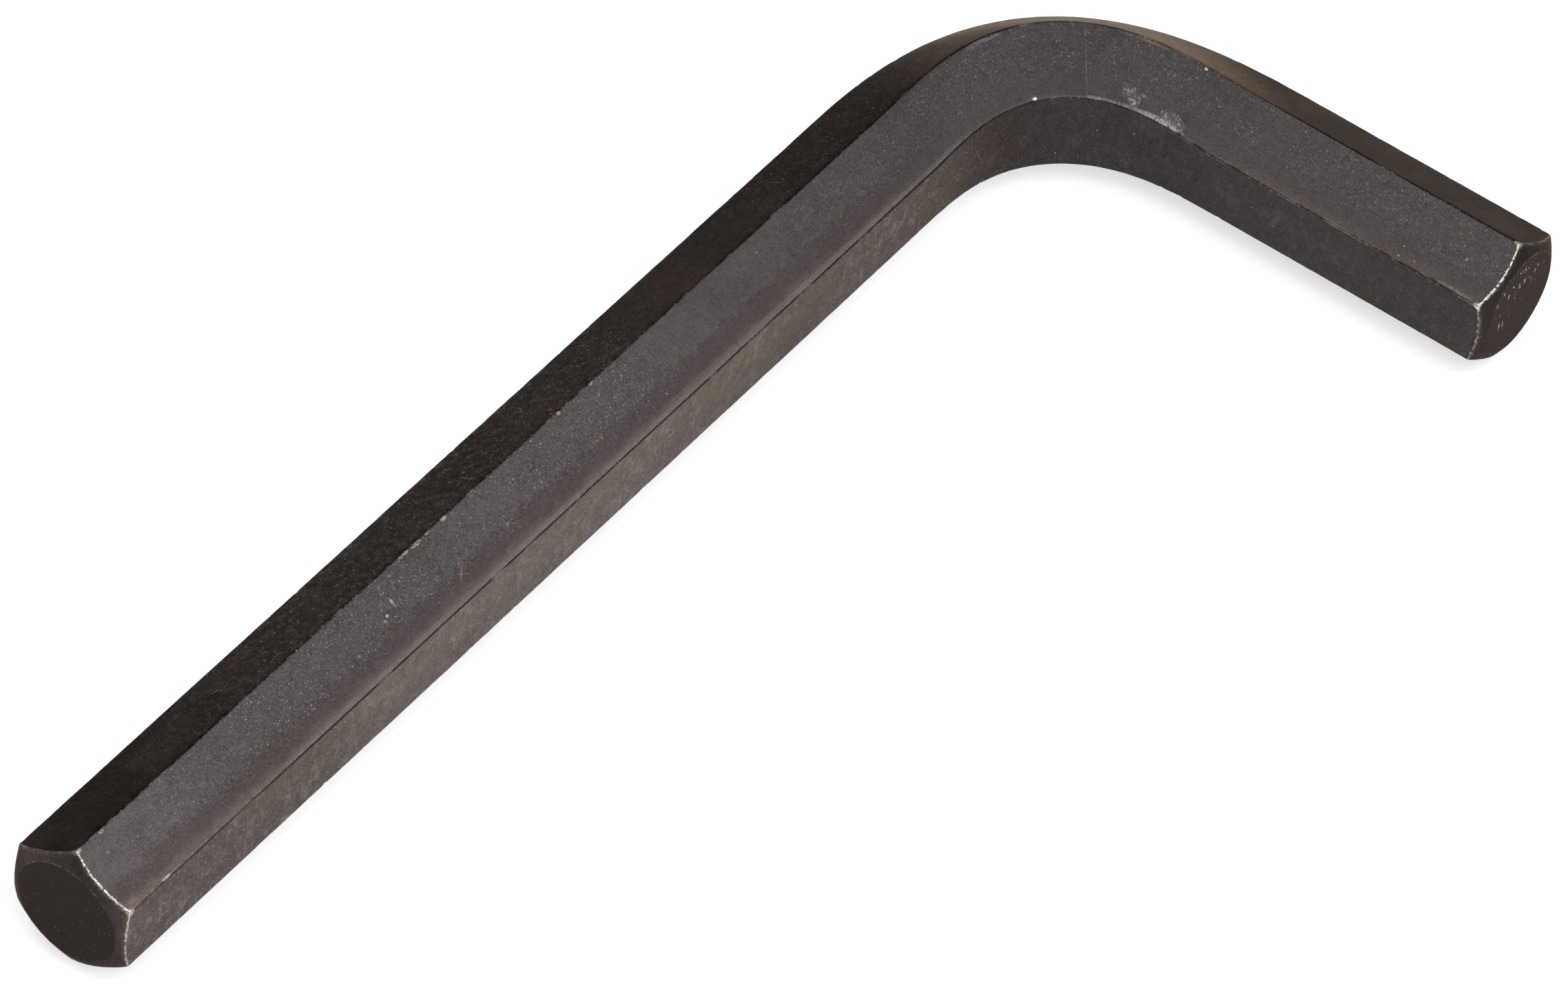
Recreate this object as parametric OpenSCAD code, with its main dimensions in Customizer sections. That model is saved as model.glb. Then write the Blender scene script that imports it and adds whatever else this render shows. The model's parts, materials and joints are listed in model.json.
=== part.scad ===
// Hex key: one bar of hexagonal steel, bent once to a right angle, with a chamfer on both ends.
// It lies as it comes to rest, with a corner of the hexagon up and a corner down.
// The long arm runs along X, the short arm along Y, and Z is up.

/* [Bar] */
// Size across the flats of the hexagon
across_flats = 10; // [8:0.5:14]
// Radius that breaks the six long corners
corner_r = 0.2; // [0.1:0.05:0.6]
// Long arm, from its end face to the outer flat of the short arm
long_arm = 122; // [90:1:160]
// Short arm, from its end face to the outer flat of the long arm
short_arm = 50; // [42:0.5:80]

/* [Bend] */
// Radius of the bar's axis where the bend runs out into the arms
bend_r = 21; // [17:0.5:26]
// How far the inner flat lies outside its own arc at mid-bend
inner_shift = 2.3; // [0:0.1:3.5]
// How far the outer flat lies outside its own arc at mid-bend
outer_shift = 1.8; // [0:0.1:3]
// How far the top and bottom ridges lie outside their own arcs at mid-bend
ridge_shift = 3.1; // [0:0.1:4]
// How far the squeezed steel widens the inner flat at mid-bend, on each side
inner_swell = 0.7; // [0:0.05:1.2]
// How far the top and bottom ridges stand proud at mid-bend
ridge_swell = 0.25; // [0:0.05:0.8]

/* [Ends] */
// Diameter of the flat left inside the chamfer
end_flat_d = 8.7; // [5:0.1:9.2]
// Angle between the chamfer and the end face
chamfer_angle = 30; // [15:1:45]

/* [Hidden] */
steel = [0.27, 0.26, 0.27];
turn_end = 90;
bend_rings = 36;
corner_steps = 3;
chamfer_facets = 96;
flat_half = across_flats / 2;
// A hexagon's side is as long as its centre is far from a corner
side = across_flats / sqrt(3);
long_end = long_arm - flat_half;
short_end = short_arm - flat_half;
rest_h = max([for (point = section(1)) point[1]]);

function unit(v) = v / norm(v);

function mirrored(point) = [point[0], -point[1]];

// Arc that breaks one corner of a section, in the order in which its corners run
function broken_corner(before, corner, after) =
    let (
        half = acos(unit(before - corner) * unit(after - corner)) / 2,
        inward = unit(unit(before - corner) + unit(after - corner)),
        centre = corner + inward * corner_r / sin(half),
        middle = atan2(-inward[1], -inward[0])
    )
    [
        for (step = [0:corner_steps])
            let (angle = middle + (90 - half) * (2 * step / corner_steps - 1))
            centre + corner_r * [cos(angle), sin(angle)]
    ];

// Corners of the section as [outward, up]: a true hexagon at flow 0, the bent section at flow 1
function section_corners(flow) =
    let (
        outer = [flat_half + outer_shift * flow, side / 2],
        ridge = [ridge_shift * flow, side + ridge_swell * flow],
        inner = [inner_shift * flow - flat_half, side / 2 + inner_swell * flow]
    )
    [outer, ridge, inner, mirrored(inner), mirrored(ridge), mirrored(outer)];

function section(flow) =
    let (corners = section_corners(flow), count = len(corners))
    [
        for (i = [0:count - 1])
            each broken_corner(corners[(i + count - 1) % count], corners[i], corners[(i + 1) % count])
    ];

// Bending moves the steel most in the middle, and not at all where the arms begin
function flow_at(turn) = pow(sin(180 * turn / turn_end), 2);

// Section at one turn of the bend, from the long arm at 0 to the short arm at 90
function bend_ring(turn) = [
    for (point = section(flow_at(turn)))
        let (reach = bend_r + point[0])
        [reach * sin(turn) - bend_r, reach * cos(turn) - bend_r, point[1]]
];

// The bend, swept through its changing sections
module bend() {
    rings = [for (i = [0:bend_rings]) bend_ring(turn_end * i / bend_rings)];
    count = len(rings[0]);
    near_cap = [for (j = [0:count - 1]) j];
    far_cap = [for (j = [count - 1:-1:0]) bend_rings * count + j];
    walls = [
        for (i = [0:bend_rings - 1])
            for (j = [0:count - 1])
                let (
                    a = i * count + j,
                    b = i * count + (j + 1) % count
                )
                each [[a, a + count, b], [b, a + count, b + count]]
    ];
    polyhedron(points = [for (ring = rings) each ring], faces = concat([near_cap, far_cap], walls));
}

// One arm along +Z from its end face, trimmed by the cone that chamfers its corners
module arm(length) {
    intersection() {
        linear_extrude(length) polygon(section(0));
        cylinder(
            h = length,
            r1 = end_flat_d / 2,
            r2 = end_flat_d / 2 + length / tan(chamfer_angle),
            $fn = chamfer_facets
        );
    }
}

module hex_key() {
    color(steel)
        translate([(long_end - flat_half) / 2, (short_end - flat_half) / 2, rest_h])
            union() {
                translate([-long_end, 0, 0]) rotate([90, 0, 90]) arm(long_end - bend_r);
                bend();
                translate([0, -short_end, 0]) rotate([-90, 0, 0]) arm(short_end - bend_r);
            }
}

hex_key();
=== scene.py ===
# Hex key in black oxide steel: the bar with its worn finish and some painted light and shade, and the table,
# lamps and camera round it
import json
import math
import random
from functools import reduce

import bpy
import numpy as np
from bpy.props import FloatProperty, FloatVectorProperty, IntProperty, PointerProperty
from bpy.types import Operator, Panel, PropertyGroup
from mathutils import Matrix, Vector, noise


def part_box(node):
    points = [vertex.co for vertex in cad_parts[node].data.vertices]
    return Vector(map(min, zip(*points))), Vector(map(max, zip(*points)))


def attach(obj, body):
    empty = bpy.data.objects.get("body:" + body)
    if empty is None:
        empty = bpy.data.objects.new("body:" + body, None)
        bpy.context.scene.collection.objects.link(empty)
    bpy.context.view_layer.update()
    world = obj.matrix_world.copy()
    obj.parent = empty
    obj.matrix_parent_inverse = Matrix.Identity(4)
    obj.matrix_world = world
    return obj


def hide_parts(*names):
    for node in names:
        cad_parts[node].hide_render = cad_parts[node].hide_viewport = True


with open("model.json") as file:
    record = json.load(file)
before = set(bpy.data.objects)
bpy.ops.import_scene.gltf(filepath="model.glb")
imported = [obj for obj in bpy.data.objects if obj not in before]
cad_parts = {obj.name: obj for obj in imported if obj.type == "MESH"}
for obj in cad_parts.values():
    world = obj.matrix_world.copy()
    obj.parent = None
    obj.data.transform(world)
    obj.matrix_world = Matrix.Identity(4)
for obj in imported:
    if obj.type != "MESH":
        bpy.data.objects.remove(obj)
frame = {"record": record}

bl_info = {
    "name": "Hex Key",
    "version": (1, 0, 0),
    "blender": (4, 5, 0),
    "location": "View3D > Sidebar > Hex Key",
    "description": "Builds a bent hexagonal key in worn black oxide steel, and a table to show it on",
    "category": "Object",
}

MM = 0.001
NODE = "hex_key"
BODY = "root"
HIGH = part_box(NODE)[1]
PLACES = {mount["name"]: Vector(mount["pos_m"]) for mount in frame["record"]["mounts"]}
LONG_FACE, SHORT_FACE = PLACES["long_end_face"], PLACES["short_end_face"]
# Where the axes of the two arms cross
CROSSING = Vector((SHORT_FACE.x, LONG_FACE.y, LONG_FACE.z))
ACROSS_FLATS = 2 * (HIGH.x - CROSSING.x)

CORNERS = 6
CORNER_STEPS = 4
# Where the lines along a flat lie, as shares of its width: close together by its two edges
FLAT_SHARES = (0.02, 0.07, 0.17, 0.33, 0.5, 0.67, 0.83, 0.93, 0.98)
# The section's lines start at the bottom ridge, so that their seam is out of sight
FIRST_CORNER = -2
RIM_STEPS = 4
LIP_STEPS = 3
# The last stretch of side before each rim, where the rings close up toward it
END_RUN = 1.4 * MM
END_RUN_STEPS = 6
END_RUN_EASE = 0.7
# Where the rings over an end lie: shares of the way down the chamfer, and of the end flat's radius
CHAMFER_SHARES = (0.3, 0.6)
END_FLAT_SHARES = (0.94, 0.8, 0.55, 0.3, 0.1)
TINY = 1e-9


def metres(name, description, default):
    return FloatProperty(name=name, description=description, default=default, unit="LENGTH")


def colour_property(name, description, default):
    return FloatVectorProperty(name=name, description=description, default=default, subtype="COLOR", size=3)


class BarSizes(PropertyGroup):
    """Sizes of the bar. The arms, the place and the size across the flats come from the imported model."""

    across_flats: metres("Across flats", "Size across the flats of the hexagon", ACROSS_FLATS)
    long_reach: metres(
        "Long arm", "From the crossing of the axes to the long arm's end face", CROSSING.x - LONG_FACE.x)
    short_reach: metres(
        "Short arm", "From the crossing of the axes to the short arm's end face", CROSSING.y - SHORT_FACE.y)
    corner_radius: metres("Corner radius", "Radius that breaks the six long corners", 0.2 * MM)
    bend_radius: metres(
        "Bend radius", "Radius of the bar's axis where the bend runs out into the arms", 21 * MM)
    inner_shift: metres(
        "Inner shift", "How far the inner flat lies outside its own arc at mid-bend", 2.3 * MM)
    outer_shift: metres(
        "Outer shift", "How far the outer flat lies outside its own arc at mid-bend", 1.8 * MM)
    ridge_shift: metres(
        "Ridge shift", "How far the top and bottom ridges lie outside their arcs at mid-bend", 3.1 * MM)
    inner_swell: metres(
        "Inner swell", "How far the inner flat is widened at mid-bend, on each side", 0.7 * MM)
    ridge_swell: metres(
        "Ridge swell", "How far the top and bottom ridges stand proud at mid-bend", 0.25 * MM)
    end_flat: metres("End flat", "Diameter of the flat left inside the chamfer", 8.7 * MM)
    chamfer_angle: FloatProperty(
        name="Chamfer angle", description="Angle between the chamfer and the end face",
        default=math.radians(30), subtype="ANGLE")
    rim_break: metres(
        "Rim break", "How far the rounding of the chamfer's outer edge reaches to each side", 0.11 * MM)
    lip_break: metres(
        "Lip break", "How far the rounding of the end flat's edge reaches to each side", 0.09 * MM)
    ring_gap: metres("Ring gap", "Distance between the mesh's rings along the bar", 0.15 * MM)


class WearAmounts(PropertyGroup):
    """How far the bar's surface departs from its true form."""

    ripple: metres("Ripple", "Depth of the slow unevenness that drawing leaves on the flats", 0.02 * MM)
    corner_waver: metres("Corner waver", "How far the corners waver inward along the bar", 0.03 * MM)
    nick_depth: metres("Nick depth", "Depth of a deep nick in a corner", 0.09 * MM)
    nicks: IntProperty(
        name="Nicks", description="Number of small nicks scattered along each corner", default=16, min=0)
    rim_chips: metres("Rim chips", "How far the chamfers' outer edges are chipped back", 0.1 * MM)


class OxideFinish(PropertyGroup):
    """Colours of the worn finish, and of the painted light and shade laid with it."""

    oxide: colour_property(
        "Oxide", "Black oxide with a grey bloom, on the upper flat", (0.106, 0.091, 0.0915))
    inner_oxide: colour_property(
        "Inner oxide", "Brownish oxide of the long arm's inner flat", (0.121, 0.107, 0.110))
    olive: colour_property("Olive oxide", "Greenish patches of the inner flat", (0.132, 0.121, 0.100))
    brown: colour_property(
        "Brown oxide", "Smooth brown oxide, where oil has dried on it", (0.080, 0.062, 0.059))
    # The colour below is dark brown oxide on the flats out of sight and in patches on the outer flat, and
    # painted shade on the inner flat from the bend on
    dark_and_shade: colour_property(
        "Dark oxide", "Dark brown oxide, on the flats that were handled least", (0.054, 0.045, 0.046))
    # The colour below is the blackest oxide in pits, and painted shade that lays the outer flat nearly black
    # and marks the inner crease
    soot_and_shade: colour_property("Soot", "The blackest oxide, in pits and creases", (0.010, 0.010, 0.016))
    end_black: colour_property("End black", "Rough oxide of the sawn end faces", (0.037, 0.031, 0.032))
    # The colour below is painted light, laid on the upper side of the chamfers
    chamfer_light: colour_property("End grey", "Paler oxide of the chamfers", (0.096, 0.083, 0.076))
    # The colour below is used for pale grains, scratches, specks, edges and marks, and as a painted highlight
    # beside the inner crease and along the inner corner of the bend
    sand_and_sheen: colour_property("Sand", "Pale grains where the oxide is thin", (0.27, 0.26, 0.272))
    # The colour below is used for white points, specks, flecks, scuffs and marks, and as a painted highlight
    # along the inner corner of the bend
    dust: colour_property("Dust", "White points and scuffs", (0.55, 0.54, 0.55))
    # The colour below is used on edges, the top flat's strip, rims, ends and marks, and as a painted
    # highlight on the outer flat through the bend and on the upper side of the ends' fringe
    tan: colour_property("Tan", "Rubbed and faintly rusty edges", (0.26, 0.19, 0.13))
    cream: colour_property("Cream", "Fresh nicks", (0.70, 0.63, 0.55))
    rust: colour_property("Rust", "The few specks of fresh rust", (0.34, 0.13, 0.04))
    steel: colour_property("Steel", "Bare steel on worn edges", (0.72, 0.72, 0.73))
    edge_tint: colour_property(
        "Edge tint", "Tint of what the surface mirrors at a low angle", (0.77, 0.675, 0.60))
    roughness: FloatProperty(
        name="Roughness", description="Roughness of the oxide", default=0.42, min=0, max=1)


class TableSetting(PropertyGroup):
    """The table, the lamps and the camera."""

    table_size: metres("Table size", "Width of the pale table", 6.0)
    table_colour: colour_property("Table colour", "Colour of the table", (0.88, 0.88, 0.88))
    table_glow: FloatProperty(
        name="Table glow", description="Light that the table adds where it is seen straight",
        default=0.62)
    mirrored_glow: FloatProperty(
        name="Mirrored glow", description="Light that the table adds where it is seen in a reflection",
        default=0.42)
    room: colour_property("Room", "Colour of the room round the table", (0.08, 0.08, 0.08))
    camera_place: FloatVectorProperty(
        name="Camera place", description="Where the camera stands",
        subtype="XYZ", unit="LENGTH", size=3, default=(-0.43093, -0.25871, 0.54575))
    camera_aim: FloatVectorProperty(
        name="Camera aim", description="The point at the middle of the picture",
        subtype="XYZ", unit="LENGTH", size=3, default=(0.004211, 0.005509, 0.006))
    camera_roll: FloatProperty(
        name="Camera roll", description="How far the camera is turned about its line of sight",
        default=math.radians(6.845), subtype="ANGLE")
    lens: FloatProperty(
        name="Lens", description="Focal length on a film 36 mm wide, in millimetres", default=233.26)


def unit_vectors(vectors):
    return vectors / np.linalg.norm(vectors, axis=-1, keepdims=True)


def section_corners(sizes, flow):
    """The six corners as [outward, up] at each flow: a true hexagon at 0, the bent section at 1."""
    half = sizes.across_flats / 2
    side = sizes.across_flats / math.sqrt(3)
    outer = np.stack([half + sizes.outer_shift * flow, side / 2 + 0 * flow], -1)
    ridge = np.stack([sizes.ridge_shift * flow, side + sizes.ridge_swell * flow], -1)
    inner = np.stack([sizes.inner_shift * flow - half, side / 2 + sizes.inner_swell * flow], -1)
    return [outer, ridge, inner, *(corner * [1, -1] for corner in (inner, ridge, outer))]


def section(sizes, flow):
    """Points and outward directions of the section at each flow, both indexed [ring, line, outward or up]."""
    corners = section_corners(sizes, flow)
    arcs, ways = [], []
    for number in range(CORNERS):
        corner = corners[number]
        back = unit_vectors(corners[number - 1] - corner)
        ahead = unit_vectors(corners[(number + 1) % CORNERS] - corner)
        half_angle = np.arccos((back * ahead).sum(-1, keepdims=True)) / 2
        inward = unit_vectors(back + ahead)
        centre = corner + inward * sizes.corner_radius / np.sin(half_angle)
        middle = np.arctan2(-inward[:, 1:], -inward[:, :1])
        turn = middle + (math.pi / 2 - half_angle) * np.linspace(-1, 1, CORNER_STEPS + 1)
        way = np.stack([np.cos(turn), np.sin(turn)], -1)
        arcs.append(centre[:, None] + sizes.corner_radius * way)
        ways.append(way)
    shares = np.array(FLAT_SHARES)[None, :, None]
    points, outward = [], []
    for number in range(FIRST_CORNER, FIRST_CORNER + CORNERS):
        start, end = arcs[number % CORNERS][:, -1:], arcs[(number + 1) % CORNERS][:, :1]
        flat_way = np.repeat(ways[number % CORNERS][:, -1:], len(FLAT_SHARES), 1)
        points += [arcs[number % CORNERS], start + (end - start) * shares]
        outward += [ways[number % CORNERS], flat_way]
    return np.concatenate(points, 1), np.concatenate(outward, 1)


def eased(before, corner, after, reach, steps):
    """Points on the rounding of a profile's corner, reaching so far to each side."""
    start = corner + unit_vectors(before - corner) * reach
    end = corner + unit_vectors(after - corner) * reach
    for share in np.linspace(0, 1, steps + 1):
        yield start * (1 - share) ** 2 + 2 * corner * share * (1 - share) + end * share ** 2


def end_profile(sizes, reach, run):
    """Rows over one end, from the side to near the middle: each line's radius and depth, and its distance
    past the rim, where the chamfer starts, and past the lip, where the end flat starts."""
    flat = sizes.end_flat / 2
    rim_depth = (reach - flat) * math.tan(sizes.chamfer_angle)
    side = np.stack([reach, 0 * reach + run], -1)
    rim = np.stack([reach, rim_depth], -1)
    lip = np.stack([0 * reach + flat, 0 * reach], -1)
    middle = 0 * lip
    rows = []
    for share in np.linspace(0, 1, END_RUN_STEPS + 1)[1:-1]:
        share = share ** END_RUN_EASE
        rows.append(side + (rim + unit_vectors(side - rim) * sizes.rim_break - side) * share)
    rows += eased(side, rim, lip, sizes.rim_break, RIM_STEPS)
    for share in CHAMFER_SHARES:
        rows.append(rim + (lip - rim) * share)
    rows += eased(rim, lip, middle, sizes.lip_break, LIP_STEPS)
    for share in END_FLAT_SHARES:
        rows.append(lip * share)
    slant = np.linalg.norm(lip - rim, axis=-1)
    found = []
    for row in rows:
        radius, depth = row[:, 0], row[:, 1]
        inward = reach - radius
        past_rim = np.where(inward < TINY, rim_depth - depth, np.hypot(inward, rim_depth - depth))
        past_lip = np.where(radius < flat, flat - radius, past_rim - slant)
        found.append((radius, depth, past_rim, past_lip))
    return found


class BarShape:
    """The bar's grid of points: a row for each place along the bar, a column for each line along it."""

    def __init__(self, sizes):
        self.sizes = sizes
        self.long_run = sizes.long_reach - sizes.bend_radius
        self.arc = sizes.bend_radius * math.pi / 2
        self.length = self.length_of(sizes)
        straight, _ = section(sizes, np.zeros(1))
        self.straight = straight[0]
        self.reach = np.linalg.norm(self.straight, axis=-1)
        self.direction = self.straight / self.reach[:, None]
        self.collect_rows()

    @staticmethod
    def length_of(sizes):
        """Length of the bar's axis from end to end."""
        return sizes.long_reach + sizes.short_reach - sizes.bend_radius * (2 - math.pi / 2)

    def flow(self, along):
        """How much of the bend's reshaping a place has: none on the arms, all of it at mid-bend."""
        turn = np.clip((along - self.long_run) / self.arc, 0, 1)
        return np.sin(math.pi * turn) ** 2

    def collect_rows(self):
        """Fills the grid: rows over the near end, rings along the bar and rows over the far end."""
        lines = len(self.reach)
        end_rows = end_profile(self.sizes, self.reach, END_RUN)
        count = round((self.length - 2 * END_RUN) / self.sizes.ring_gap)
        rings = np.linspace(END_RUN, self.length - END_RUN, count + 1)
        blank = -np.ones(lines) * END_RUN
        points, outward = section(self.sizes, self.flow(rings))
        along, section_at, straight_at, ways, past_rim, past_lip = [], [], [], [], [], []
        for first in (True, False):
            for radius, depth, rim, lip in (reversed(end_rows) if first else end_rows):
                along.append(depth if first else self.length - depth)
                section_at.append(self.direction * radius[:, None])
                straight_at.append(section_at[-1])
                ways.append(outward[0])
                past_rim.append(rim)
                past_lip.append(lip)
            if first:
                for ring in range(len(rings)):
                    along.append(np.full(lines, rings[ring]))
                    section_at.append(points[ring])
                    straight_at.append(self.straight)
                    ways.append(outward[ring])
                    past_rim.append(blank)
                    past_lip.append(blank)
        self.along, self.section_at, self.straight_at = map(np.array, (along, section_at, straight_at))
        self.ways, self.past_rim, self.past_lip = map(np.array, (ways, past_rim, past_lip))

    def bent(self, along, section_at):
        """Places points in the model's frame, along the long arm, the bend and the short arm."""
        sizes = self.sizes
        turn = np.clip((along - self.long_run) / sizes.bend_radius, 0, math.pi / 2)
        over = along - self.long_run - turn * sizes.bend_radius
        reach = sizes.bend_radius + section_at[..., 0]
        x = reach * np.sin(turn) - sizes.bend_radius + over * np.cos(turn)
        y = reach * np.cos(turn) - sizes.bend_radius - over * np.sin(turn)
        return np.stack([x, y, section_at[..., 1]], -1) + np.array(CROSSING)


# Nicks that can be seen, as [corner, distance along the bar in mm, length in mm, depth as a share]
SEEN_NICKS = (
    (1, 3.4, 0.5, 0.6), (1, 37.8, 0.9, 0.9), (1, 39.2, 0.9, 1.0), (1, 40.6, 0.4, 0.4), (1, 42.5, 0.6, 0.8),
    (1, 56.2, 0.4, 0.5), (1, 60.1, 0.5, 0.5), (1, 105.8, 0.6, 0.5), (1, 109.3, 0.5, 0.6),
    (2, 4.6, 0.6, 0.5), (2, 5.7, 0.4, 0.5), (2, 110.2, 0.7, 1.0), (2, 123.5, 0.6, 0.6), (2, 148.0, 0.8, 0.6),
)
# Lengths in mm and depths as shares of the small nicks, and how far from the ends they stay
NICK_LENGTHS = (0.15, 0.5)
NICK_SHARES = (0.1, 0.45)
NICK_MARGIN = 1
# Widths in mm of the nicks, the worn corners and the chipped rims, and of the flats' fade to unworn at a rim
NICK_WIDTH = 0.22
CORNER_WIDTH = 0.16
RIM_WIDTH = 0.14
RIM_FADE = 0.3
# Ripples per mm along the bar and across it, and the quick ones' share and place in the noise
SLOW_RIPPLE = (0.11, 0.45)
QUICK_RIPPLE = (0.4, 0.9)
QUICK_RIPPLE_SHARE = 0.5
QUICK_RIPPLE_START = 7
# Waves per mm along a corner, how far apart the corners lie in the noise, and the quick ones' share and place
SLOW_WAVER = (0.4, 3.7)
QUICK_WAVER = (1.3, 5.3)
QUICK_WAVER_SHARE = 0.4
QUICK_WAVER_START = 4
# Chips per mm of rim, and how far from zero each end lies in the noise
CHIPS = 1.3
CHIP_START = 9
SEED = 10


def wander(*place):
    """Smooth noise about zero at a place of up to three numbers."""
    return noise.noise(Vector((*place, 0, 0)[:3]))


def ripple_at(along, out, up):
    """Smooth unevenness about zero at a place of the straight bar, in mm."""
    slow = wander(along * SLOW_RIPPLE[0], out * SLOW_RIPPLE[1], up * SLOW_RIPPLE[1])
    quick = wander(along * QUICK_RIPPLE[0], out * QUICK_RIPPLE[1] + QUICK_RIPPLE_START, up * QUICK_RIPPLE[1])
    return slow + QUICK_RIPPLE_SHARE * quick


def waver_at(along, corner):
    """How far a corner wavers inward at a distance along it in mm, as a share."""
    slow = wander(along * SLOW_WAVER[0], corner * SLOW_WAVER[1])
    quick = wander(along * QUICK_WAVER[0], corner * QUICK_WAVER[1], QUICK_WAVER_START)
    return abs(slow + QUICK_WAVER_SHARE * quick)


def corner_nicks(corner, count, length):
    """Nicks of one corner, those that can be seen and small ones at random, as [place, length, share]."""
    chance = random.Random(SEED + corner)
    nicks = [nick[1:] for nick in SEEN_NICKS if nick[0] == corner]
    for _ in range(count):
        place = chance.uniform(NICK_MARGIN, length - NICK_MARGIN)
        nicks.append((place, chance.uniform(*NICK_LENGTHS), chance.uniform(*NICK_SHARES)))
    return nicks


def wear_away(shape, wear):
    """Lowers the surface in slow ripples and along the wavering, nicked corners, and chips the rims."""
    along = shape.along / MM
    straight = shape.straight_at / MM
    length = shape.length / MM
    past_rim = shape.past_rim / MM
    depth = np.zeros(along.shape)
    for row, line in np.ndindex(along.shape):
        ripple = ripple_at(along[row, line], *straight[row, line])
        depth[row, line] = wear.ripple * (1 + ripple) / 2
    for number, corner in enumerate(section_corners(shape.sizes, np.zeros(1))):
        gap = np.linalg.norm(straight - corner[0] / MM, axis=-1)
        waver = np.array([waver_at(place, number) for place in along[:, 0]])
        depth += wear.corner_waver * waver[:, None] * np.exp(-(gap / CORNER_WIDTH) ** 2)
        for place, size, share in corner_nicks(number, wear.nicks, length):
            dent = np.exp(-(2 * (along - place) / size) ** 2 - (gap / NICK_WIDTH) ** 2)
            depth += wear.nick_depth * share * dent
    depth = np.maximum(depth, 0) * np.clip(-past_rim / RIM_FADE, 0, 1)
    for row, line in np.argwhere(np.abs(past_rim) < 3 * RIM_WIDTH):
        end = math.copysign(CHIP_START, along[row, line] - length / 2)
        chip = max(0, wander(*straight[row, line] * CHIPS, end))
        depth[row, line] += wear.rim_chips * chip * math.exp(-(past_rim[row, line] / RIM_WIDTH) ** 2)
    shape.section_at = shape.section_at - shape.ways * depth[..., None]


def bar_mesh(shape):
    """A closed mesh over the shape's grid, with the places that the finish reads."""
    rows, lines = shape.along.shape
    points = shape.bent(shape.along, shape.section_at).reshape(-1, 3)
    ends = shape.bent(np.array([0, shape.length]), np.zeros((2, 2)))
    vertices = np.vstack([points, ends])
    row, line = np.meshgrid(np.arange(rows - 1), np.arange(lines), indexing="ij")
    after = (line + 1) % lines
    near, far = row * lines, (row + 1) * lines
    quads = np.stack([near + line, far + line, far + after, near + after], -1)
    columns = np.arange(lines)
    beside = (columns + 1) % lines
    last = (rows - 1) * lines
    near_fan = np.stack([np.full(lines, rows * lines), columns, beside], -1)
    far_fan = np.stack([np.full(lines, rows * lines + 1), last + beside, last + columns], -1)
    faces = [*quads.reshape(-1, 4).tolist(), *near_fan.tolist(), *far_fan.tolist()]
    mesh = bpy.data.meshes.new(NODE + "_bar")
    mesh.from_pydata(vertices.tolist(), [], faces)
    mesh.polygons.foreach_set("use_smooth", [True] * len(faces))

    mm = 1 / MM
    straight = np.concatenate([shape.along[..., None], shape.straight_at], -1).reshape(-1, 3) * mm
    straight = np.vstack([straight, [0, 0, 0], [shape.length * mm, 0, 0]])
    flat = shape.sizes.end_flat / 2
    rim = np.append(shape.past_rim.ravel(), [flat, flat]) * mm
    lip = np.append(shape.past_lip.ravel(), [flat, flat]) * mm
    mesh.attributes.new("bar_mm", "FLOAT_VECTOR", "POINT").data.foreach_set("vector", straight.ravel())
    for name, values in (("past_rim_mm", rim), ("past_lip_mm", lip)):
        mesh.attributes.new(name, "FLOAT", "POINT").data.foreach_set("value", values)
    mesh.update()
    return mesh


class Number:
    """A number that varies over a surface. Expressions on it add Math nodes."""

    def __init__(self, shader, socket):
        self.shader, self.socket = shader, socket

    def math(self, operation, *values):
        return self.shader.node("ShaderNodeMath", {"operation": operation}, dict(enumerate(values)))

    def __add__(self, other):
        return self.math("ADD", self, other)

    def __sub__(self, other):
        return self.math("SUBTRACT", self, other)

    def __rsub__(self, other):
        return self.math("SUBTRACT", other, self)

    def __mul__(self, other):
        return self.math("MULTIPLY", self, other)

    __radd__, __rmul__ = __add__, __mul__

    def size(self):
        return self.math("ABSOLUTE", self)

    def most(self, other):
        return self.math("MAXIMUM", self, other)

    def rise(self, start, end):
        """0 up to start and 1 from end, smooth between them. It falls instead where start is above end."""
        low, high, at_low = (start, end, 0) if start < end else (end, start, 1)
        inputs = {0: self, 1: low, 2: high, 3: at_low, 4: 1 - at_low}
        return self.shader.node("ShaderNodeMapRange", {"interpolation_type": "SMOOTHSTEP"}, inputs)

    def band(self, start, end, soft):
        """1 between start and end, and 0 beyond them by the soft margin."""
        return self.rise(start - soft, start) * self.rise(end + soft, end)


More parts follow.
